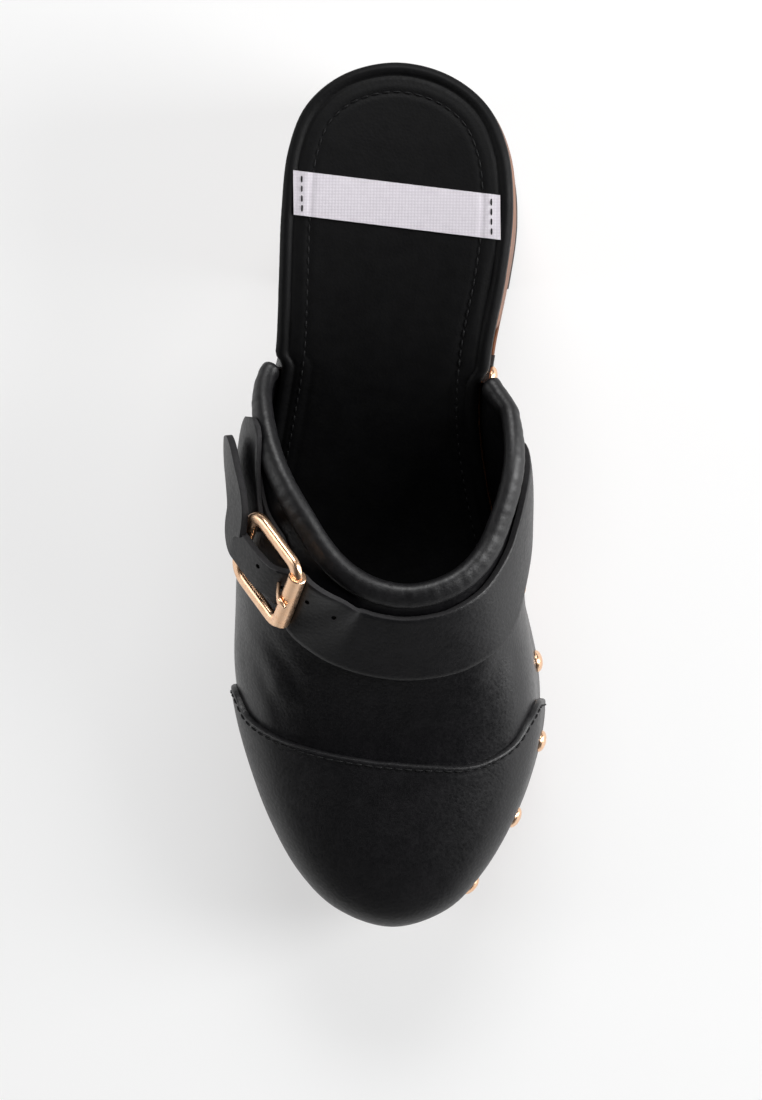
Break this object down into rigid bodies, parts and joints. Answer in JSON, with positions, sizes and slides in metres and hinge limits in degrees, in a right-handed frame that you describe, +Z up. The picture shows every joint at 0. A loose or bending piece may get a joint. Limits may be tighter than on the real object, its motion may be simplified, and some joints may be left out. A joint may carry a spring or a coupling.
{
  "type": "platform clog",
  "caption": "Backless platform clog with a tall block heel: leather upper nailed round the sole with dome studs, seamed toe cap, padded collar and a buckled instep strap.",
  "frame": {"origin": "middle of the floor under the shoe's overall box", "axes": "+Z up, -Y towards the toe, +X towards the inner side of the foot, this being the right shoe"},
  "size_m": [0.0924, 0.2498, 0.1035],
  "materials": {
    "sole_wood": "satin brown wood grain, hardly seen from above",
    "tread_rubber": "matt black",
    "sock_leather": "soft black, dull",
    "upper_leather": "black, fine pebbled grain, satin",
    "strap_leather": "black, fine grain, satin, raw edges",
    "gold_metal": "polished rose gold plating",
    "label_ribbon": "white woven ribbon"
  },
  "bodies": {
    "root": {"clog_sole": "sole_wood", "heel_top_piece": "tread_rubber", "outsole_forepart": "tread_rubber", "insole": "sock_leather", "upper": "upper_leather", "collar": "upper_leather", "toe_cap": "upper_leather", "strap": "strap_leather", "chape": "strap_leather", "buckle_tab": "strap_leather", "buckle_frame": "gold_metal", "buckle_roller": "gold_metal", "buckle_prong": "gold_metal", "label": "label_ribbon", "stud_01": "gold_metal", "stud_02": "gold_metal", "stud_03": "gold_metal", "stud_04": "gold_metal", "stud_05": "gold_metal", "stud_06": "gold_metal", "stud_07": "gold_metal", "stud_08": "gold_metal", "stud_09": "gold_metal", "stud_10": "gold_metal", "stud_11": "gold_metal", "stud_12": "gold_metal", "stud_13": "gold_metal", "stud_14": "gold_metal", "stud_15": "gold_metal", "stud_16": "gold_metal", "stud_17": "gold_metal"}
  },
  "joints": []
}
